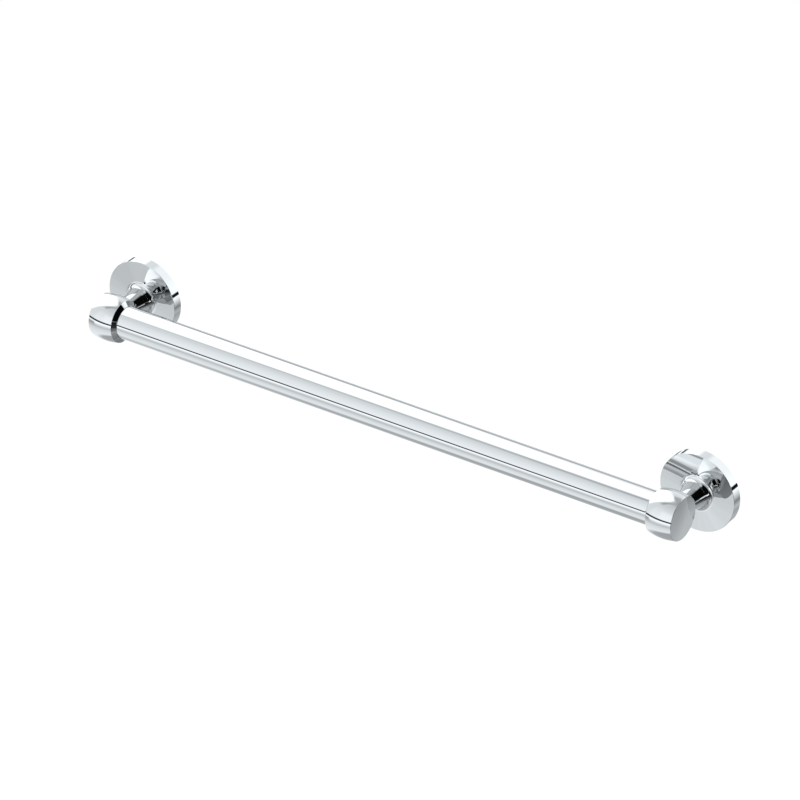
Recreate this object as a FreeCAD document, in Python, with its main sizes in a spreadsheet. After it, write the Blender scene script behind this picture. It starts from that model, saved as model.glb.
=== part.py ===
import FreeCAD, Part
import math
import os
from collections import namedtuple
from types import SimpleNamespace

import Sketcher
from FreeCAD import Placement, Rotation, Vector

# Straight grab bar for a bathroom wall: a polished tube held between two cast posts.
# Each post stands on a steel wall plate, and a drawn cover hides the plate and its screws.
# Frame: the wall is the plane y = 0 and the bar stands off it towards -Y. +X runs along the
# bar and +Z is up. The origin is on the wall, midway between the two posts.

doc = FreeCAD.newDocument("grab_bar")
sheet = doc.addObject("Spreadsheet::Sheet", "Sizes")

# Driving dimensions, in millimetres
DIMENSIONS = {
    # overall layout
    "post_spacing": 609.6,
    "wall_clearance": 38.1,
    # bar
    "bar_dia": 31.75,
    "bar_wall": 1.5,
    # post head, the crowned barrel that the bar ends in
    "head_length": 26.0,
    "head_end_dia": 41.2,
    "head_mid_dia": 44.6,
    "head_end_wall": 4.0,
    "head_end_rise": 0.6,
    "head_centre_dia": 1.0,
    "nose_length": 3.0,
    "nose_lip": 0.4,
    "head_edge_radius": 0.4,
    # post neck and foot
    "neck_base_dia": 28.8,
    "neck_head_dia": 18.4,
    "saddle_radius": 3.4,
    "foot_dia": 40.0,
    "foot_thickness": 3.0,
    "foot_fillet": 0.8,
    # wall plate
    "plate_thickness": 5.0,
    "wall_hole_dia": 6.4,
    "wall_hole_offset": 19.8,
    # flange cover
    "cover_dia": 76.2,
    "cover_depth": 10.0,
    "cover_sheet": 1.2,
    "cover_edge_radius": 0.3,
    "face_rise": 1.2,
    "collar_height": 4.8,
    "collar_radius": 5.5,
    "collar_lip": 0.1,
    # rubber ring that grips the cover
    "ring_section": 2.4,
    # fasteners
    "bolt_dia": 8.0,
    "bolt_head_dia": 15.0,
    "bolt_length": 22.0,
    "bolt_socket_width": 5.0,
    "bolt_socket_depth": 3.0,
    "bolt_recess": 0.3,
    "bolt_end_bevel": 0.8,
    "pin_dia": 4.0,
    "pin_length": 6.0,
    "pin_in_foot": 2.2,
    "pin_offset": 13.5,
    "screw_dia": 6.0,
    "screw_socket_width": 3.0,
    "screw_socket_depth": 2.2,
    "screw_point_dia": 4.0,
    "screw_inset": 0.8,
    "screw_bevel": 0.5,
    # clearances
    "socket_gap": 0.1,
    "bar_end_gap": 0.5,
    "thread_gap": 0.05,
    "pin_gap": 0.02,
    "ring_gap": 0.05,
    "rim_gap": 1.4,
    "collar_gap": 0.05,
    "screw_tip_gap": 0.2,
    "screw_shoulder_gap": 0.3,
    "point_gap": 0.1,
    "bolt_gap": 0.2,
    "bolt_tip_gap": 1.5,
    "pin_end_gap": 0.1,
}


class Size:
    """A length with its number and the sheet expression that it comes from."""

    def __init__(self, number, text):
        self.number = number
        self.text = text

    def __add__(self, other):
        other = as_size(other)
        return Size(self.number + other.number, f"({self.text} + {other.text})")

    def __sub__(self, other):
        other = as_size(other)
        return Size(self.number - other.number, f"({self.text} - {other.text})")

    def __mul__(self, other):
        other = as_size(other)
        return Size(self.number * other.number, f"({self.text} * {other.text})")

    def __truediv__(self, other):
        other = as_size(other)
        return Size(self.number / other.number, f"({self.text} / {other.text})")

    def __neg__(self):
        return Size(-self.number, f"(0 - {self.text})")

    def root(self):
        return Size(math.sqrt(self.number), f"sqrt({self.text})")


def as_size(value):
    return value if isinstance(value, Size) else Size(value, f"({value})")


ZERO = Size(0.0, "0")
dim = SimpleNamespace()
for row, (alias, value) in enumerate(DIMENSIONS.items(), start=1):
    sheet.set(f"A{row}", alias)
    sheet.set(f"B{row}", str(value))
    sheet.setAlias(f"B{row}", alias)
    setattr(dim, alias, Size(value, f"Sizes.{alias}"))
doc.recompute()

# Sizes worked out from the driving ones
post_x = dim.post_spacing / 2
bar_r = dim.bar_dia / 2
standoff = dim.wall_clearance + bar_r
head_half = dim.head_length / 2
head_end_r = dim.head_end_dia / 2
head_mid_r = dim.head_mid_dia / 2
socket_r = bar_r + dim.socket_gap
socket_end = head_half - dim.head_end_wall
neck_base_r = dim.neck_base_dia / 2
neck_head_r = dim.neck_head_dia / 2
foot_top = dim.plate_thickness + dim.foot_thickness
neck_top = standoff - head_mid_r
cover_r = dim.cover_dia / 2
cover_inner_r = cover_r - dim.cover_sheet
ring_r = cover_inner_r - dim.ring_gap - dim.ring_section / 2
bolt_r = dim.bolt_dia / 2
bolt_head_r = dim.bolt_head_dia / 2
pin_r = dim.pin_dia / 2
screw_r = dim.screw_dia / 2
screw_point_r = dim.screw_point_dia / 2


def neck_radius(depth):
    """Radius of the neck's cone at a distance from the wall."""
    taper = (neck_base_r - neck_head_r) / (neck_top - foot_top)
    return neck_base_r - (depth - foot_top) * taper


# Sketch and feature helpers

# A corner of an outline. Rounding is the radius of the corner itself, and bulge is the radius
# of an outward arc that takes the place of the straight edge to the next corner.
Corner = namedtuple("Corner", "across along rounding bulge", defaults=(None, None))

ON_AXIS = 1e-9


def constrain(sketch, *terms):
    return sketch.addConstraint(Sketcher.Constraint(*terms))


def hold(sketch, mark, kind, coordinate):
    """Hold one coordinate of a marked point at its size."""
    across_axis, along_axis = -1, -2
    origin_point = (across_axis, 1)
    if abs(coordinate.number) < ON_AXIS:
        axis = along_axis if kind == "DistanceX" else across_axis
        constrain(sketch, "PointOnObject", mark, 1, axis)
        return
    number = constrain(sketch, kind, *origin_point, mark, 1, coordinate.number)
    sketch.setExpression(f"Constraints[{number}]", coordinate.text)


def add_arc(sketch, centre, start, end, counterclockwise, radius):
    """Add an arc and return its index with the end numbers of its start and end."""
    if not counterclockwise:
        start, end = end, start
    from_angle = math.atan2(start.y - centre.y, start.x - centre.x)
    to_angle = math.atan2(end.y - centre.y, end.x - centre.x)
    if to_angle < from_angle:
        to_angle += 2 * math.pi
    circle = Part.Circle(centre, Vector(0, 0, 1), radius.number)
    arc = sketch.addGeometry(Part.ArcOfCircle(circle, from_angle, to_angle))
    number = constrain(sketch, "Radius", arc, radius.number)
    sketch.setExpression(f"Constraints[{number}]", radius.text)
    return (arc, 1, 2) if counterclockwise else (arc, 2, 1)


def rounded_corner(before, corner, after, radius):
    """Where a rounding leaves its two edges, and its centre."""
    back = (before - corner).normalize()
    ahead = (after - corner).normalize()
    half_angle = back.getAngle(ahead) / 2
    setback = radius / math.tan(half_angle)
    centre = corner + (back + ahead).normalize() * (radius / math.sin(half_angle))
    return corner + back * setback, corner + ahead * setback, centre


def draw_outline(sketch, corners):
    """Draw a closed outline, with every corner and radius bound to the sheet."""
    points = [Vector(corner.across.number, corner.along.number, 0) for corner in corners]
    area = sum(a.x * b.y - b.x * a.y for a, b in zip(points, points[1:] + points[:1]))
    counterclockwise = area > 0
    marks = []
    leaves = []
    enters = []
    centres = []
    for index, (corner, point) in enumerate(zip(corners, points)):
        mark = sketch.addGeometry(Part.Point(point), True)
        hold(sketch, mark, "DistanceX", corner.across)
        hold(sketch, mark, "DistanceY", corner.along)
        enter, leave, centre = point, point, None
        if corner.rounding:
            after = points[(index + 1) % len(points)]
            enter, leave, centre = rounded_corner(
                points[index - 1], point, after, corner.rounding.number
            )
        marks.append(mark)
        enters.append(enter)
        leaves.append(leave)
        centres.append(centre)

    edges = []
    for index, corner in enumerate(corners):
        start = leaves[index]
        end = enters[(index + 1) % len(corners)]
        if corner.bulge:
            chord = end - start
            outward = Vector(chord.y, -chord.x, 0).normalize() * (1 if counterclockwise else -1)
            inset = math.sqrt(corner.bulge.number ** 2 - (chord.Length / 2) ** 2)
            centre = (start + end) * 0.5 - outward * inset
            edges.append(add_arc(sketch, centre, start, end, counterclockwise, corner.bulge))
        else:
            edges.append((sketch.addGeometry(Part.LineSegment(start, end)), 1, 2))

    for index, corner in enumerate(corners):
        last, _, last_end = edges[index - 1]
        following, following_start, _ = edges[index]
        if not corner.rounding:
            constrain(sketch, "Coincident", last, last_end, marks[index], 1)
            constrain(sketch, "Coincident", following, following_start, marks[index], 1)
            continue
        constrain(sketch, "PointOnObject", marks[index], 1, last)
        constrain(sketch, "PointOnObject", marks[index], 1, following)
        enter, leave, centre = enters[index], leaves[index], centres[index]
        turn = (enter - centre).cross(leave - centre).z > 0
        arc, arc_start, arc_end = add_arc(sketch, centre, enter, leave, turn, corner.rounding)
        constrain(sketch, "Tangent", last, last_end, arc, arc_start)
        constrain(sketch, "Tangent", arc, arc_end, following, following_start)


def draw_circle(sketch, across, along, radius):
    centre = Vector(across.number, along.number, 0)
    mark = sketch.addGeometry(Part.Point(centre), True)
    hold(sketch, mark, "DistanceX", across)
    hold(sketch, mark, "DistanceY", along)
    circle = sketch.addGeometry(Part.Circle(centre, Vector(0, 0, 1), radius.number))
    constrain(sketch, "Coincident", circle, 3, mark, 1)
    number = constrain(sketch, "Radius", circle, radius.number)
    sketch.setExpression(f"Constraints[{number}]", radius.text)


def hexagon(width):
    """Corners of a hexagon socket with the given width across its flats."""
    angles = [math.radians(60 * step) for step in range(6)]
    reach = 1 / math.sqrt(3)
    return [Corner(width * (math.cos(a) * reach), width * (math.sin(a) * reach)) for a in angles]


def new_body(name, x=ZERO, y=ZERO):
    """A body whose own origin stands at a bound place in the part's frame."""
    body = doc.addObject("PartDesign::Body", name)
    body.Label = name
    body.setExpression("Placement.Base.x", x.text)
    body.setExpression("Placement.Base.y", y.text)
    return body


def new_sketch(body, name, plane, lift=None):
    sketch = body.newObject("Sketcher::SketchObject", name)
    support = next(item for item in body.Origin.OriginFeatures if item.Role == plane)
    sketch.AttachmentSupport = (support, [""])
    sketch.MapMode = "FlatFace"
    if lift:
        sketch.setExpression("AttachmentOffset.Base.z", lift.text)
    return sketch


def revolve(body, name, plane, axis, corners, kind="PartDesign::Revolution"):
    """Turn an outline about one of its sketch's axes, to add metal or to bore it away."""
    sketch = new_sketch(body, f"{name}_outline", plane)
    draw_outline(sketch, corners)
    feature = body.newObject(kind, name)
    feature.Profile = sketch
    feature.ReferenceAxis = (sketch, [axis])
    feature.Angle = 360
    return feature


def pocket(body, name, sketch, depth=None, reverse=False):
    """Cut a sketch into the body to a bound depth, or right through."""
    feature = body.newObject("PartDesign::Pocket", name)
    feature.Profile = sketch
    feature.Reversed = reverse
    if depth:
        feature.setExpression("Length", depth.text)
    else:
        feature.Type = "ThroughAll"
    return feature


def fillet(body, name, base, wanted, radius):
    """Round the edges of a feature that pass a test."""
    doc.recompute()
    names = [f"Edge{number}" for number, edge in enumerate(base.Shape.Edges, 1) if wanted(edge)]
    feature = body.newObject("PartDesign::Fillet", name)
    feature.Base = (base, names)
    feature.setExpression("Radius", radius.text)
    return feature


def group(name, members):
    """Like pieces kept together as one sub-part of separate solids."""
    compound = doc.addObject("Part::Compound", name)
    compound.Label = name
    compound.Links = members
    return compound


# Bar: a polished tube that ends inside both post heads. Near each end its underside has a
# round hole for the point of the set screw.

def make_bar():
    body = new_body("bar_tube", y=-standoff)
    section = new_sketch(body, "bar_section", "YZ_Plane")
    draw_circle(section, ZERO, ZERO, bar_r)
    draw_circle(section, ZERO, ZERO, bar_r - dim.bar_wall)
    tube = body.newObject("PartDesign::Pad", "bar_pad")
    tube.Profile = section
    tube.Midplane = True
    tube.setExpression("Length", ((post_x + socket_end - dim.bar_end_gap) * 2).text)
    holes = new_sketch(body, "bar_screw_circles", "XY_Plane")
    for side in (-1, 1):
        draw_circle(holes, post_x * side, ZERO, screw_point_r + dim.point_gap)
    pocket(body, "bar_screw_holes", holes)
    return body


# Post: one casting, with a round foot, a conical neck and a crowned barrel of a head that
# takes the bar. The head's end is slightly domed, as polishing leaves it, round a small flat
# centre. The post's own origin is at the centre of the head, with the wall at +Y. The side is
# +1 on the right and -1 on the left, and the nose of the head always points along the bar.

def dome_radius(rim_r, centre_r, rise):
    """Radius of the sphere that passes a rim and a smaller circle that rises above it."""
    depth = (rim_r * rim_r - centre_r * centre_r - rise * rise) / (rise * 2)
    return (depth * depth + rim_r * rim_r).root()


def make_post(name, side):
    body = new_body(name, post_x * side, -standoff)

    nose_tip = -(head_half + dim.nose_length) * side
    end_face = (head_half + dim.head_end_rise) * side
    centre_r = dim.head_centre_dia / 2
    crown_rise = head_mid_r - head_end_r
    crown_radius = (head_half * head_half + crown_rise * crown_rise) / (crown_rise * 2)
    end_radius = dome_radius(head_end_r, centre_r, dim.head_end_rise)
    head = revolve(body, f"{name}_head", "XY_Plane", "H_Axis", [
        Corner(end_face, ZERO),
        Corner(end_face, centre_r, bulge=end_radius),
        Corner(head_half * side, head_end_r, bulge=crown_radius),
        Corner(-head_half * side, head_end_r),
        Corner(nose_tip, socket_r + dim.nose_lip),
        Corner(nose_tip, ZERO),
    ])

    def from_wall(depth):
        return standoff - depth

    neck = revolve(body, f"{name}_neck", "XY_Plane", "V_Axis", [
        Corner(ZERO, ZERO),
        Corner(neck_radius(standoff), ZERO),
        Corner(neck_base_r, from_wall(foot_top), rounding=dim.foot_fillet),
        Corner(dim.foot_dia / 2, from_wall(foot_top)),
        Corner(dim.foot_dia / 2, from_wall(dim.plate_thickness)),
        Corner(ZERO, from_wall(dim.plate_thickness)),
    ])

    def is_saddle(edge):
        return not isinstance(edge.Curve, (Part.Circle, Part.Line))

    def is_head_rim(edge):
        if not isinstance(edge.Curve, Part.Circle) or abs(edge.Curve.Axis.x) < 0.5:
            return False
        return edge.Curve.Radius > bar_r.number

    saddle = fillet(body, f"{name}_saddle", neck, is_saddle, dim.saddle_radius)
    fillet(body, f"{name}_head_edges", saddle, is_head_rim, dim.head_edge_radius)

    revolve(body, f"{name}_socket", "XY_Plane", "H_Axis", [
        Corner(nose_tip, ZERO),
        Corner(nose_tip, socket_r),
        Corner(socket_end * side, socket_r),
        Corner(socket_end * side, ZERO),
    ], "PartDesign::Groove")

    bolt_hole_r = bolt_r + dim.thread_gap
    bolt_hole_end = dim.bolt_recess + dim.bolt_length + dim.bolt_tip_gap
    revolve(body, f"{name}_bolt_hole", "XY_Plane", "V_Axis", [
        Corner(ZERO, from_wall(dim.plate_thickness)),
        Corner(bolt_hole_r, from_wall(dim.plate_thickness)),
        Corner(bolt_hole_r, from_wall(bolt_hole_end)),
        Corner(ZERO, from_wall(bolt_hole_end + bolt_hole_r / 2)),
    ], "PartDesign::Groove")

    pins = new_sketch(body, f"{name}_pin_circles", "XZ_Plane", -from_wall(dim.plate_thickness))
    for place in (-1, 1):
        draw_circle(pins, dim.pin_offset * place, ZERO, pin_r + dim.pin_gap)
    pocket(body, f"{name}_pin_holes", pins, dim.pin_in_foot + dim.pin_end_gap, reverse=True)

    screw = new_sketch(body, f"{name}_screw_circle", "XY_Plane")
    draw_circle(screw, ZERO, ZERO, screw_r + dim.thread_gap)
    pocket(body, f"{name}_screw_hole", screw)
    return body


# Wall plate: a steel disc with four screw holes, a countersunk middle hole for the post's
# bolt, two blind pin holes and a groove round its edge for the rubber ring.

WALL_HOLES = 4


def make_wall_plate(name, side):
    body = new_body(name, post_x * side)
    plate_r = cover_inner_r - dim.rim_gap
    groove_r = ring_r - dim.ring_section / 2 - dim.ring_gap
    groove_half = dim.ring_section / 2 + dim.ring_gap
    middle = dim.plate_thickness / 2
    hole_r = bolt_r + dim.bolt_gap
    sink_r = bolt_head_r + dim.bolt_recess + dim.thread_gap
    revolve(body, f"{name}_disc", "XY_Plane", "V_Axis", [
        Corner(sink_r, ZERO),
        Corner(plate_r, ZERO),
        Corner(plate_r, groove_half - middle),
        Corner(groove_r, groove_half - middle),
        Corner(groove_r, -middle - groove_half),
        Corner(plate_r, -middle - groove_half),
        Corner(plate_r, -dim.plate_thickness),
        Corner(hole_r, -dim.plate_thickness),
        Corner(hole_r, hole_r - sink_r),
    ])

    pins = new_sketch(body, f"{name}_pin_circles", "XZ_Plane", dim.plate_thickness)
    for place in (-1, 1):
        draw_circle(pins, dim.pin_offset * place, ZERO, pin_r + dim.pin_gap)
    pocket(body, f"{name}_pin_holes", pins, dim.pin_length - dim.pin_in_foot + dim.pin_end_gap)

    hole = new_sketch(body, f"{name}_wall_hole_circle", "XZ_Plane")
    draw_circle(hole, dim.wall_hole_offset, dim.wall_hole_offset, dim.wall_hole_dia / 2)
    first = pocket(body, f"{name}_wall_hole", hole, reverse=True)
    holes = body.newObject("PartDesign::PolarPattern", f"{name}_wall_holes")
    holes.Originals = [first]
    holes.Axis = (hole, ["N_Axis"])
    holes.Angle = 360
    holes.Occurrences = WALL_HOLES
    body.Tip = holes
    return body


# Flange cover: a drawn cup of thin sheet with a shallow cone for a face. Its middle is turned
# out into a short collar that closes on the neck, so that it slides up the neck to bare the
# wall screws.

def make_flange_cover(name, side):
    body = new_body(name, post_x * side)
    face_in = dim.cover_depth + dim.face_rise
    collar_end = face_in + dim.collar_height
    underside = face_in - dim.cover_sheet
    revolve(body, f"{name}_shell", "XY_Plane", "V_Axis", [
        Corner(cover_inner_r, ZERO),
        Corner(cover_r, ZERO),
        Corner(cover_r, -dim.cover_depth, rounding=dim.cover_edge_radius),
        Corner(
            neck_radius(face_in) + dim.collar_gap + dim.collar_lip,
            -face_in,
            rounding=dim.collar_radius,
        ),
        Corner(neck_radius(collar_end) + dim.collar_gap + dim.collar_lip, -collar_end),
        Corner(neck_radius(collar_end) + dim.collar_gap, -collar_end),
        Corner(neck_radius(underside) + dim.collar_gap, -underside),
        Corner(cover_inner_r, dim.cover_sheet - dim.cover_depth),
    ])
    return body


# Cover ring: a rubber ring in the wall plate's groove, which holds the cover by friction.

def make_cover_ring(name, side):
    ring = doc.addObject("Part::Torus", name)
    ring.Label = name
    ring.setExpression("Radius1", ring_r.text)
    ring.setExpression("Radius2", (dim.ring_section / 2).text)
    ring.Placement = Placement(Vector(), Rotation(Vector(1, 0, 0), 90))
    ring.setExpression("Placement.Base.x", (post_x * side).text)
    ring.setExpression("Placement.Base.y", (-dim.plate_thickness / 2).text)
    return ring


# Post bolt: a countersunk socket bolt that comes through the wall plate from behind and
# draws the post's foot down on it.

def make_post_bolt(name, side):
    body = new_body(name, post_x * side, -dim.bolt_recess)
    revolve(body, f"{name}_shank", "XY_Plane", "V_Axis", [
        Corner(ZERO, ZERO),
        Corner(bolt_head_r, ZERO),
        Corner(bolt_r, bolt_r - bolt_head_r),
        Corner(bolt_r, dim.bolt_end_bevel - dim.bolt_length),
        Corner(bolt_r - dim.bolt_end_bevel, -dim.bolt_length),
        Corner(ZERO, -dim.bolt_length),
    ])
    socket = new_sketch(body, f"{name}_socket_outline", "XZ_Plane")
    draw_outline(socket, hexagon(dim.bolt_socket_width))
    pocket(body, f"{name}_socket", socket, dim.bolt_socket_depth, reverse=True)
    return body


# Locating pins: two dowels at each post, half in the plate and half in the foot, which keep
# the post from turning on its bolt.

def make_pin(name, side, place):
    pin = doc.addObject("Part::Cylinder", name)
    pin.setExpression("Radius", pin_r.text)
    pin.setExpression("Height", dim.pin_length.text)
    pin.Placement = Placement(Vector(), Rotation(Vector(1, 0, 0), 90))
    pin.setExpression("Placement.Base.x", (post_x * side + dim.pin_offset * place).text)
    start = dim.plate_thickness + dim.pin_in_foot - dim.pin_length
    pin.setExpression("Placement.Base.y", (-start).text)
    return pin


# Bar set screw: a socket set screw up through the underside of the head, whose point enters
# the hole in the bar.

def make_bar_screw(name, side):
    body = new_body(name, post_x * side, -standoff)
    outer = -head_mid_r + dim.screw_inset
    shoulder = -socket_r - dim.screw_shoulder_gap
    tip = -bar_r + dim.bar_wall - dim.screw_tip_gap
    revolve(body, f"{name}_shank", "XZ_Plane", "V_Axis", [
        Corner(ZERO, outer),
        Corner(screw_r - dim.screw_bevel, outer),
        Corner(screw_r, outer + dim.screw_bevel),
        Corner(screw_r, shoulder),
        Corner(screw_point_r, shoulder),
        Corner(screw_point_r, tip),
        Corner(ZERO, tip),
    ])
    socket = new_sketch(body, f"{name}_socket_outline", "XY_Plane", outer)
    draw_outline(socket, hexagon(dim.screw_socket_width))
    pocket(body, f"{name}_socket", socket, dim.screw_socket_depth, reverse=True)
    return body


SIDES = (("left", -1), ("right", 1))
nodes = [make_bar()]
for word, side in SIDES:
    nodes.append(make_post(f"{word}_post", side))
    nodes.append(make_wall_plate(f"{word}_wall_plate", side))
    nodes.append(make_flange_cover(f"{word}_flange_cover", side))
    nodes.append(make_cover_ring(f"{word}_cover_ring", side))
bolts = [make_post_bolt(f"{word}_post_bolt", side) for word, side in SIDES]
screws = [make_bar_screw(f"{word}_bar_screw", side) for word, side in SIDES]
pins = [
    make_pin(f"{word}_pin_{number}", side, place)
    for word, side in SIDES
    for number, place in enumerate((-1, 1), start=1)
]
nodes.append(group("post_bolts", bolts))
nodes.append(group("bar_set_screws", screws))
nodes.append(group("locating_pins", pins))
doc.recompute()

# Every object has to be built, every cut has to take metal away, and every sub-part has to be
# sound, before any of them is written.
for item in doc.Objects:
    if "Invalid" in item.State or "Error" in item.State:
        raise RuntimeError(f"{item.Label} was not built: {item.State}")
    if item.TypeId in ("PartDesign::Pocket", "PartDesign::Groove"):
        if item.Shape.Volume >= item.BaseFeature.Shape.Volume:
            raise RuntimeError(f"{item.Label} cuts nothing")
for node in nodes:
    if node.Shape.isNull() or not node.Shape.isValid():
        raise RuntimeError(f"{node.Label} has no sound shape")

os.makedirs("parts", exist_ok=True)
for node in nodes:
    node.Shape.exportStep(f"parts/{node.Label}.step")
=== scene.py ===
import math
from collections import namedtuple

import bpy
from mathutils import Matrix, Vector


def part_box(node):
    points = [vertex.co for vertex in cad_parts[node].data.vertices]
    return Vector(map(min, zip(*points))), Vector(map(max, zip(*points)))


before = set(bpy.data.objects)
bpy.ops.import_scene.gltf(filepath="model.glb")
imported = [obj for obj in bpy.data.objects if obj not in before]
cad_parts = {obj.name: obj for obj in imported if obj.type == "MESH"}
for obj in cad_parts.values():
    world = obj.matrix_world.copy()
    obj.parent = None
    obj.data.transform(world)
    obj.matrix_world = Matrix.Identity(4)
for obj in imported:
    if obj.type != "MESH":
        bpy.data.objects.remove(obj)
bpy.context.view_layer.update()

# Bar: a straight stainless tube, polished to a mirror and chrome plated like the posts that
# hold it. The polishing leaves a faint cloudy haze and a slow ripple in what the bar mirrors.

CHROME = (0.685, 0.695, 0.702, 1.0)
MIRROR_ROUGHNESS = 0.006
HAZE_SCALE = 45.0
HAZE_DETAIL = 4.0
RIPPLE_SCALE = 60.0
RIPPLE_DETAIL = 1.0
BAR_HAZE = 0.008
BAR_RIPPLE = 0.0000012


def feed(tree, socket, term):
    """Set a socket to a number, or link another socket to it."""
    if isinstance(term, (int, float)):
        socket.default_value = term
    else:
        tree.links.new(term, socket)


def calculate(tree, operation, *terms):
    """A Math node fed with numbers or sockets."""
    node = tree.nodes.new("ShaderNodeMath")
    node.operation = operation
    for socket, term in zip(node.inputs, terms):
        feed(tree, socket, term)
    return node.outputs["Value"]


def noise(tree, place, scale, detail):
    """A cloudy value between 0 and 1 that follows a place."""
    node = tree.nodes.new("ShaderNodeTexNoise")
    node.inputs["Scale"].default_value = scale
    node.inputs["Detail"].default_value = detail
    tree.links.new(place, node.inputs["Vector"])
    return node.outputs["Fac"]


def new_group(name, inputs, outputs):
    """A shared node group, with the sockets that it is given and those of its result."""
    tree = bpy.data.node_groups.new(name, "ShaderNodeTree")
    for socket in inputs:
        kind = "NodeSocketVector" if socket == "Vector" else "NodeSocketFloat"
        tree.interface.new_socket(socket, in_out="INPUT", socket_type=kind)
    for socket in outputs:
        tree.interface.new_socket(socket, in_out="OUTPUT", socket_type="NodeSocketFloat")
    given = tree.nodes.new("NodeGroupInput").outputs
    result = tree.nodes.new("NodeGroupOutput").inputs
    return tree, given, result


def build_polish_group():
    """Mirror polish: a cloudy haze and the slow ripple that a buffing wheel leaves."""
    tree, given, result = new_group(
        "mirror_polish", ("Vector", "Least Roughness", "Haze"), ("Roughness", "Ripple")
    )
    cloud = noise(tree, given["Vector"], HAZE_SCALE, HAZE_DETAIL)
    haze = calculate(tree, "MULTIPLY_ADD", cloud, given["Haze"], given["Least Roughness"])
    ripple = noise(tree, given["Vector"], RIPPLE_SCALE, RIPPLE_DETAIL)
    tree.links.new(haze, result["Roughness"])
    tree.links.new(ripple, result["Ripple"])
    return tree


mirror_polish = build_polish_group()


def new_material(name):
    """A node material with its tree and its Principled shader."""
    material = bpy.data.materials.new(name)
    material.use_nodes = True
    return material, material.node_tree, material.node_tree.nodes["Principled BSDF"]


def object_place(tree):
    """The place on the piece, which every pattern follows."""
    return tree.nodes.new("ShaderNodeTexCoord").outputs["Object"]


def use_group(tree, group, *terms):
    """A shared group in a tree, its inputs fed in their order with sockets or numbers."""
    node = tree.nodes.new("ShaderNodeGroup")
    node.node_tree = group
    for socket, term in zip(node.inputs, terms):
        feed(tree, socket, term)
    return node


def relief(tree, height, depth, shader):
    """Marks that stand out of the surface by a depth in metres, without changing its shape."""
    node = tree.nodes.new("ShaderNodeBump")
    node.inputs["Distance"].default_value = depth
    tree.links.new(height, node.inputs["Height"])
    tree.links.new(node.outputs["Normal"], shader.inputs["Normal"])


def chrome_material(name, haze, ripple_depth):
    """Bright chrome plate over polished metal."""
    material, tree, shader = new_material(name)
    shader.inputs["Base Color"].default_value = CHROME
    shader.inputs["Metallic"].default_value = 1.0
    polish = use_group(tree, mirror_polish, object_place(tree), MIRROR_ROUGHNESS, haze)
    tree.links.new(polish.outputs["Roughness"], shader.inputs["Roughness"])
    relief(tree, polish.outputs["Ripple"], ripple_depth, shader)
    return material


def finish_node(name, material):
    """Give one of the frame's solids its finish."""
    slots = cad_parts[name].data.materials
    slots.clear()
    slots.append(material)


finish_node("bar_tube", chrome_material("bar_chrome", BAR_HAZE, BAR_RIPPLE))

# Posts: one zinc casting at each end, with a round foot, a conical neck and a crowned head.
# They are buffed by hand before plating, so their reflections wander a little.

POST_HAZE = 0.008
POST_RIPPLE = 0.0000015

post_chrome = chrome_material("post_chrome", POST_HAZE, POST_RIPPLE)
for post in ("left_post", "right_post"):
    finish_node(post, post_chrome)

# Flange covers: drawn sheet cups, plated bright, that slide down the necks and hide the plates.
# The flat face keeps faint marks of the polishing wheel, fanned out from the neck.

COVER_HAZE = 0.012
COVER_RIPPLE = 0.000002
COVER_DULL = (0.59, 0.60, 0.607, 1.0)
COVER_BRIGHT = (0.78, 0.79, 0.797, 1.0)
STREAK_SCALE = 2.4
STREAK_DETAIL = 3.0


def middle(node):
    """The centre of the box round one of the frame's solids."""
    low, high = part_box(node)
    return [(a + b) / 2 for a, b in zip(low, high)]


def cover_material(name, centre):
    """Chrome plate with streaks that fan out from the given centre, seen along the neck."""
    material = chrome_material(name, COVER_HAZE, COVER_RIPPLE)
    tree = material.node_tree
    flat = tree.nodes.new("ShaderNodeMapping")
    flat.inputs["Location"].default_value = (-centre[0], 0.0, -centre[2])
    flat.inputs["Scale"].default_value = (1.0, 0.0, 1.0)
    tree.links.new(object_place(tree), flat.inputs["Vector"])
    fan = tree.nodes.new("ShaderNodeVectorMath")
    fan.operation = "NORMALIZE"
    tree.links.new(flat.outputs["Vector"], fan.inputs["Vector"])
    streaks = noise(tree, fan.outputs["Vector"], STREAK_SCALE, STREAK_DETAIL)
    plate = tree.nodes.new("ShaderNodeMixRGB")
    plate.inputs["Color1"].default_value = COVER_DULL
    plate.inputs["Color2"].default_value = COVER_BRIGHT
    tree.links.new(streaks, plate.inputs["Fac"])
    shader = tree.nodes["Principled BSDF"]
    tree.links.new(plate.outputs["Color"], shader.inputs["Base Color"])
    return material


for cover in ("left_flange_cover", "right_flange_cover"):
    finish_node(cover, cover_material(f"{cover}_chrome", middle(cover)))

# Wall plates: steel discs turned on a lathe and zinc plated, screwed to the wall under the
# covers. The tool leaves fine rings round the middle.

ZINC = (0.50, 0.51, 0.52, 1.0)
TOOL_WANDER = 0.4
TOOL_DETAIL = 2.0
TOOL_DEPTH = 0.00001
MOTTLE_SCALE = 220.0
MOTTLE_DETAIL = 5.0
MOTTLE_ROUGHNESS = 0.18
PLATE_RINGS = 900.0
PLATE_ROUGHNESS = 0.26


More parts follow.
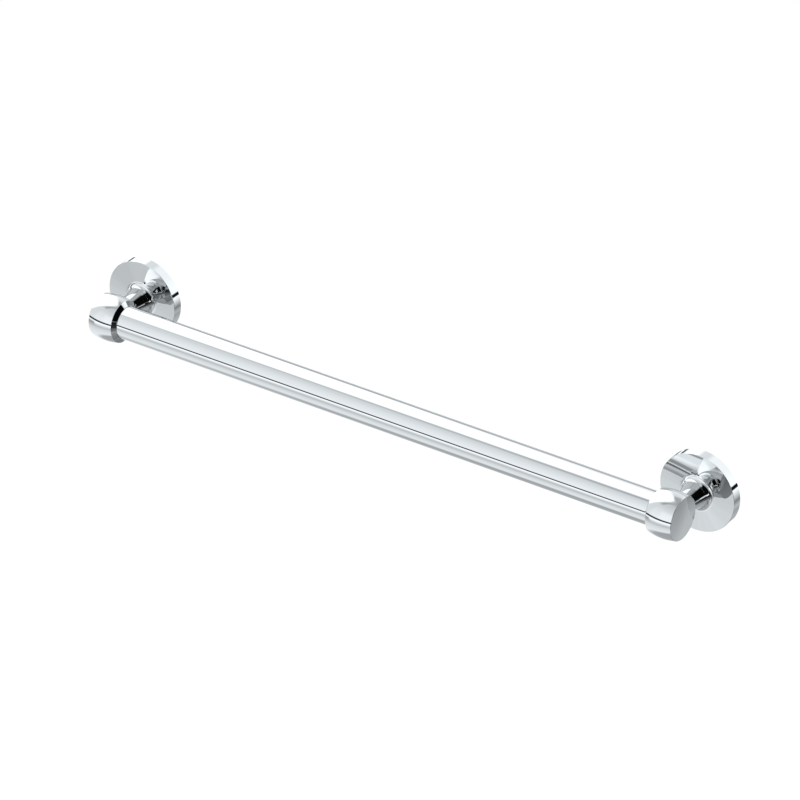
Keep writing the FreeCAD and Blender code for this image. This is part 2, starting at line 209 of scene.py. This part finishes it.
def build_turning_group():
    """Fine rings of a lathe tool about the piece's own axis, with a mottled plating."""
    tree, given, result = new_group(
        "lathe_turning", ("Vector", "Rings", "Least Roughness"), ("Roughness", "Marks")
    )
    rings = tree.nodes.new("ShaderNodeTexWave")
    rings.wave_type = "RINGS"
    rings.rings_direction = "Y"
    rings.inputs["Distortion"].default_value = TOOL_WANDER
    rings.inputs["Detail"].default_value = TOOL_DETAIL
    tree.links.new(given["Vector"], rings.inputs["Vector"])
    tree.links.new(given["Rings"], rings.inputs["Scale"])
    mottle = noise(tree, given["Vector"], MOTTLE_SCALE, MOTTLE_DETAIL)
    rough = calculate(tree, "MULTIPLY_ADD", mottle, MOTTLE_ROUGHNESS, given["Least Roughness"])
    tree.links.new(rough, result["Roughness"])
    tree.links.new(rings.outputs["Fac"], result["Marks"])
    return tree


lathe_turning = build_turning_group()


def zinc_material(name, centre, rings, least_roughness):
    """Zinc plated steel, turned about the given centre."""
    material, tree, shader = new_material(name)
    shader.inputs["Base Color"].default_value = ZINC
    shader.inputs["Metallic"].default_value = 1.0
    centred = tree.nodes.new("ShaderNodeMapping")
    centred.inputs["Location"].default_value = [-along for along in centre]
    tree.links.new(object_place(tree), centred.inputs["Vector"])
    place = centred.outputs["Vector"]
    turning = use_group(tree, lathe_turning, place, rings, least_roughness)
    tree.links.new(turning.outputs["Roughness"], shader.inputs["Roughness"])
    relief(tree, turning.outputs["Marks"], TOOL_DEPTH, shader)
    return material


for plate in ("left_wall_plate", "right_wall_plate"):
    plate_zinc = zinc_material(f"{plate}_zinc", middle(plate), PLATE_RINGS, PLATE_ROUGHNESS)
    finish_node(plate, plate_zinc)

# Bolts, set screws and pins: machined steel fasteners with a bright zinc plating. The bolts
# hold the posts from behind, the set screws grip the bar and the pins stop the posts turning.

FASTENER_RINGS = 2000.0
FASTENER_ROUGHNESS = 0.2

for fastener in ("post_bolts", "bar_set_screws", "locating_pins"):
    fastener_zinc = zinc_material(
        f"{fastener}_zinc", middle(fastener), FASTENER_RINGS, FASTENER_ROUGHNESS
    )
    finish_node(fastener, fastener_zinc)

# Cover rings: moulded black rubber in each wall plate's groove, which grips the cover. The
# rubber is matt, with a fine mould grain.

RUBBER = (0.03, 0.03, 0.031, 1.0)
RUBBER_SMOOTHEST = 0.55
RUBBER_ROUGHEST = 0.8
GRAIN_SCALE = 2500.0
GRAIN_DETAIL = 3.0
GRAIN_DEPTH = 0.00003


def map_range(tree, value, *limits):
    """A Map Range node, its old limits and its new ones fed with numbers or sockets."""
    node = tree.nodes.new("ShaderNodeMapRange")
    names = ("Value", "From Min", "From Max", "To Min", "To Max")
    for name, term in zip(names, (value, *limits)):
        feed(tree, node.inputs[name], term)
    return node


def rubber_material(name):
    """Matt black rubber with the grain of its mould."""
    material, tree, shader = new_material(name)
    shader.inputs["Base Color"].default_value = RUBBER
    grain = noise(tree, object_place(tree), GRAIN_SCALE, GRAIN_DETAIL)
    rough = map_range(tree, grain, 0.0, 1.0, RUBBER_SMOOTHEST, RUBBER_ROUGHEST)
    tree.links.new(rough.outputs["Result"], shader.inputs["Roughness"])
    relief(tree, grain, GRAIN_DEPTH, shader)
    return material


ring_rubber = rubber_material("ring_rubber")
for ring in ("left_cover_ring", "right_cover_ring"):
    finish_node(ring, ring_rubber)

# Studio: the walls, boards and soft boxes that polished metal mirrors, as panels on a far dome.
# Azimuth is measured from the room side, -Y, towards +X, and elevation up from the horizon.

# The dome's faint blue cast, and the strength of the white light on matt surfaces
DOME_TINT = (0.96, 1.0, 1.022, 1.0)
PLAIN_LIGHT = 0.85
WHITE = (1.0, 1.0, 1.0, 1.0)

# The dome's own shade by elevation, from straight down to straight up
DOME_SHADES = (
    (-90, 0.5),
    (-60, 0.52),
    (-54, 1.13),
    (-44, 1.07),
    (-34, 0.95),
    (-26, 0.73),
    (-20, 0.9),
    (-11, 1.5),
    (-6, 1.5),
    (0, 1.25),
    (30, 1.1),
    (60, 0.86),
    (70, 0.82),
    (90, 0.5),
)

# Each panel's edges in degrees, its corner radius and edge blur, and its shade at foot and top
Panel = namedtuple("Panel", "name left right low high corner blur foot top")
PANELS = (
    Panel("far floor", -165, -123, -70, -46, 0, 11, 0.56, 0.72),
    Panel("far floor rim", -150, -97, -66, -54, 0, 4, 0.52, 0.6),
    Panel("low patch", -80, -46, -23, -12, 0, 8, 0.52, 0.45),
    Panel("far skirting", -152, -139, -34, -14, 0, 2, 0.45, 0.25),
    Panel("upper wall", -195, -147, 51, 92, 0, 10, 0.58, 0.5),
    Panel("upper corner", -62, -48, 55, 84, 0, 10, 0.5, 0.45),
    Panel("front glow", -24, 10, 0, 34, 0, 16, 1.34, 1.2),
    Panel("side haze", -72, -47, 2, 44, 0, 14, 1.06, 0.95),
    Panel("side floor", 5, 66, -57, -33, 0, 6, 0.72, 0.6),
    Panel("side floor end", 66, 126, -66, -37, 0, 6, 0.24, 0.38),
    Panel("grey skirting", 5, 126, -37, -22, 0, 4, 0.3, 0.13),
    Panel("near skirting", 5, 44, -37, -22, 0, 4, 0.45, 0.12),
    Panel("pale mat", 30, 42, -42, -26, 0, 2, 1.3, 0.32),
    Panel("dark skirting", 18, 126, -23, -2, 0, 2, 0.04, 0.01),
    Panel("side wall", 11, 34, 1, 62, 0, 6, 0.5, 0.5),
    Panel("large soft box", -149, -69, 4, 77, 26, 8, 1.7, 1.5),
    Panel("soft box core", -144, -90, 6, 47, 12, 10, 2.2, 1.9),
    Panel("horizon gap", -142, 5, -7, 0, 0, 4, 0.02, 0.02),
    Panel("wall end", -180, -141, -8, 15, 0, 12, 0.55, 0.5),
    Panel("black board", 33, 124, -2, 53, 0, 3, 0.003, 0.003),
    Panel("board haze", 120, 168, 56, 69, 0, 8, 0.25, 0.55),
    Panel("board top", 34, 136, 41, 61, 0, 10, 0.003, 0.003),
    Panel("white slit", 58, 71, -9, -2, 0, 1, 1.6, 1.6),
    Panel("white slit end", 78, 100, -9, -2, 0, 2, 1.6, 1.6),
    Panel("grey slit", 100, 126, -12, -4, 0, 2, 0.6, 0.5),
    Panel("end soft box", 131, 191, -7, 53, 22, 13, 1.6, 1.25),
    Panel("end floor", 124, 198, -28, -6, 0, 3, 0.22, 1.45),
    Panel("end floor low", 124, 198, -41, -28, 0, 2, 0.52, 0.4),
    Panel("end floor foot", 124, 198, -90, -40, 0, 2, 0.27, 0.27),
    Panel("end floor pale", 140, 198, -50, -39, 0, 3, 0.68, 0.48),
    Panel("end mat", 141, 170, -36, -28, 0, 1, 0.62, 0.4),
    Panel("end mat light", 149, 166, -36, -26, 0, 9, 0.72, 0.55),
    Panel("end gap", 124, 150, -5, 2, 0, 2, 0.01, 0.01),
    # Painted shade: the wall beside the cover, in the post's shadow, as the post's nose mirrors
    # it
    Panel("dark stand", 145, 175, 0, 18, 3, 2, 0.26, 0.26),
)


def mix(tree, factor, first, second):
    """A value between two others."""
    node = tree.nodes.new("ShaderNodeMix")
    tree.links.new(factor, node.inputs["Factor"])
    feed(tree, node.inputs["A"], first)
    feed(tree, node.inputs["B"], second)
    return node.outputs["Result"]


def past_corner(tree, place, first, last, corner):
    """How far a place lies past the line where a panel's round corners begin, in degrees."""
    centre = calculate(tree, "MULTIPLY", calculate(tree, "ADD", first, last), 0.5)
    half = calculate(tree, "MULTIPLY", calculate(tree, "SUBTRACT", last, first), 0.5)
    offset = calculate(tree, "SUBTRACT", place, centre)
    turned = calculate(tree, "WRAP", offset, 180.0, -180.0)
    reach = calculate(tree, "SUBTRACT", calculate(tree, "ABSOLUTE", turned), half)
    return calculate(tree, "ADD", reach, corner)


def build_panel_group():
    """A panel with round corners and a soft edge, laid over the shade below it."""
    edges = [field.title() for field in Panel._fields[1:]]
    tree, given, result = new_group(
        "studio_panel", ["Below", "Azimuth", "Elevation", *edges], ["Shade"]
    )

    # The distance from the panel's rounded outline, below zero inside it
    corner = given["Corner"]
    across = past_corner(tree, given["Azimuth"], given["Left"], given["Right"], corner)
    upright = past_corner(tree, given["Elevation"], given["Low"], given["High"], corner)
    beyond = [calculate(tree, "MAXIMUM", side, 0.0) for side in (across, upright)]
    squares = [calculate(tree, "MULTIPLY", side, side) for side in beyond]
    outer = calculate(tree, "SQRT", calculate(tree, "ADD", *squares))
    inner = calculate(tree, "MINIMUM", calculate(tree, "MAXIMUM", across, upright), 0.0)
    distance = calculate(tree, "SUBTRACT", calculate(tree, "ADD", outer, inner), corner)

    # The panel's own shade, which fades into the shade below across the blurred edge
    blur_out = calculate(tree, "MULTIPLY", given["Blur"], 0.5)
    blur_in = calculate(tree, "MULTIPLY", blur_out, -1.0)
    edge = map_range(tree, distance, blur_in, blur_out, 1.0, 0.0)
    edge.interpolation_type = "SMOOTHSTEP"
    face = map_range(
        tree, given["Elevation"], given["Low"], given["High"], given["Foot"], given["Top"]
    )
    shade = mix(tree, edge.outputs["Result"], given["Below"], face.outputs["Result"])
    tree.links.new(shade, result["Shade"])
    return tree


def dome_shade(tree, elevation):
    """The dome's own shade at an elevation, from a curve through its stops."""
    curve = tree.nodes.new("ShaderNodeFloatCurve")
    points = curve.mapping.curves[0].points
    brightest = max(shade for _, shade in DOME_SHADES)
    while len(points) < len(DOME_SHADES):
        points.new(0.5, 0.5)
    for point, (angle, shade) in zip(points, DOME_SHADES):
        point.location = ((angle + 90) / 180, shade / brightest)
        point.handle_type = "VECTOR"
    curve.mapping.update()
    height = calculate(tree, "DIVIDE", calculate(tree, "ADD", elevation, 90.0), 180.0)
    tree.links.new(height, curve.inputs["Value"])
    return calculate(tree, "MULTIPLY", curve.outputs["Value"], brightest)


def background(tree, colour, strength):
    """A world light of one colour, with its strength fed from a socket."""
    node = tree.nodes.new("ShaderNodeBackground")
    node.inputs["Color"].default_value = colour
    tree.links.new(strength, node.inputs["Strength"])
    return node.outputs["Background"]


def mix_shader(tree, factor, first, second):
    """The first shader where the factor is 0, and the second where it is 1."""
    node = tree.nodes.new("ShaderNodeMixShader")
    for socket, source in zip(node.inputs, (factor, first, second)):
        tree.links.new(source, socket)
    return node.outputs["Shader"]


def build_studio():
    """White to the camera, plain light on matt surfaces, and the dome in polished metal."""
    world = bpy.data.worlds.new("studio")
    bpy.context.scene.world = world
    world.use_nodes = True
    tree = world.node_tree
    tree.nodes.clear()

    direction = tree.nodes.new("ShaderNodeTexCoord").outputs["Generated"]
    parts = tree.nodes.new("ShaderNodeSeparateXYZ")
    tree.links.new(direction, parts.inputs["Vector"])
    to_room = calculate(tree, "MULTIPLY", parts.outputs["Y"], -1.0)
    azimuth = calculate(tree, "DEGREES", calculate(tree, "ARCTAN2", parts.outputs["X"], to_room))
    elevation = calculate(tree, "DEGREES", calculate(tree, "ARCSINE", parts.outputs["Z"]))

    panel_group = build_panel_group()
    shade = dome_shade(tree, elevation)
    for panel in PANELS:
        laid = use_group(tree, panel_group, shade, azimuth, elevation, *panel[1:])
        laid.label = panel.name
        shade = laid.outputs["Shade"]

    # Only mirrored and refracted rays meet the panels, which keeps the others quick
    ray = tree.nodes.new("ShaderNodeLightPath").outputs
    mirrored = calculate(tree, "MAXIMUM", ray["Is Glossy Ray"], ray["Is Transmission Ray"])
    plain_strength = mix(tree, ray["Is Camera Ray"], PLAIN_LIGHT, 1.0)
    plain_light = background(tree, WHITE, plain_strength)
    dome = background(tree, DOME_TINT, shade)
    output = tree.nodes.new("ShaderNodeOutputWorld")
    tree.links.new(mix_shader(tree, mirrored, plain_light, dome), output.inputs["Surface"])


build_studio()

# Floor: a flat painted floor, well below the bar. The camera sees it white with the soft shadow
# kept, polished metal looks past it to the dome's own floor, and from below it isn't there.

FLOOR_HEIGHT = -0.62
FLOOR_REACH = 12.0
FLOOR_SHADOW = 0.35
FLOOR_PAINT = (0.97, 0.97, 0.97, 1.0)


def floor_material(name):
    """Matt paint, whitened for the camera, and clear to mirrors and from below."""
    material, tree, shader = new_material(name)
    shader.inputs["Base Color"].default_value = FLOOR_PAINT
    shader.inputs["Roughness"].default_value = 1.0
    shader.inputs["Specular IOR Level"].default_value = 0.0
    white = tree.nodes.new("ShaderNodeEmission")
    white.inputs["Color"].default_value = WHITE
    clear = tree.nodes.new("ShaderNodeBsdfTransparent")
    ray = tree.nodes.new("ShaderNodeLightPath").outputs
    side = tree.nodes.new("ShaderNodeNewGeometry").outputs
    whitened = calculate(tree, "MULTIPLY", ray["Is Camera Ray"], 1.0 - FLOOR_SHADOW)
    unseen = calculate(tree, "MAXIMUM", ray["Is Glossy Ray"], side["Backfacing"])
    seen = mix_shader(tree, whitened, shader.outputs["BSDF"], white.outputs["Emission"])
    surface = mix_shader(tree, unseen, seen, clear.outputs["BSDF"])
    tree.links.new(surface, tree.nodes["Material Output"].inputs["Surface"])
    return material


floor_mesh = bpy.data.meshes.new("floor")
floor_corners = [
    (x * FLOOR_REACH, y * FLOOR_REACH, FLOOR_HEIGHT)
    for x, y in ((-1, -1), (1, -1), (1, 1), (-1, 1))
]
floor_mesh.from_pydata(floor_corners, [], [(0, 1, 2, 3)])
floor_mesh.materials.append(floor_material("floor_paint"))
floor = bpy.data.objects.new("floor", floor_mesh)
bpy.context.scene.collection.objects.link(floor)

# Key lamp: one broad soft light overhead, a little to the left. It casts the bar's shadow on
# the floor, and polished metal doesn't mirror it.

LAMP_SIZE = 2.5
LAMP_PLACE = Vector((-0.8, -1.2, 2.6))
LAMP_POWER = 60.0

lamp_data = bpy.data.lights.new("key_lamp", "AREA")
lamp_data.size = LAMP_SIZE
lamp_data.energy = LAMP_POWER
lamp = bpy.data.objects.new("key_lamp", lamp_data)
lamp.location = LAMP_PLACE
lamp.rotation_euler = (-LAMP_PLACE).to_track_quat("-Z", "Y").to_euler()
lamp.visible_glossy = False
bpy.context.scene.collection.objects.link(lamp)

# Camera: a long lens well back from the bar, looking down at it from the front right. Its
# place is given by direction and distance from the origin, midway between the posts.

VIEW_AZIMUTH = math.radians(34.702)
VIEW_ELEVATION = math.radians(30.442)
VIEW_DISTANCE = 4.5816
VIEW_RIGHT = -0.01506
VIEW_UP = -0.01091
SENSOR = 36.0
LENS = 227.52

right = Vector((math.cos(VIEW_AZIMUTH), math.sin(VIEW_AZIMUTH), 0.0))
back = Vector((
    math.sin(VIEW_AZIMUTH) * math.cos(VIEW_ELEVATION),
    -math.cos(VIEW_AZIMUTH) * math.cos(VIEW_ELEVATION),
    math.sin(VIEW_ELEVATION),
))
up = back.cross(right)
camera_data = bpy.data.cameras.new("camera")
camera_data.sensor_width = SENSOR
camera_data.lens = LENS
camera = bpy.data.objects.new("camera", camera_data)
place = right * VIEW_RIGHT + up * VIEW_UP + back * VIEW_DISTANCE
camera.matrix_world = Matrix.Translation(place) @ Matrix((right, up, back)).transposed().to_4x4()
bpy.context.scene.collection.objects.link(camera)
bpy.context.scene.camera = camera
bpy.context.scene.view_settings.view_transform = "Standard"
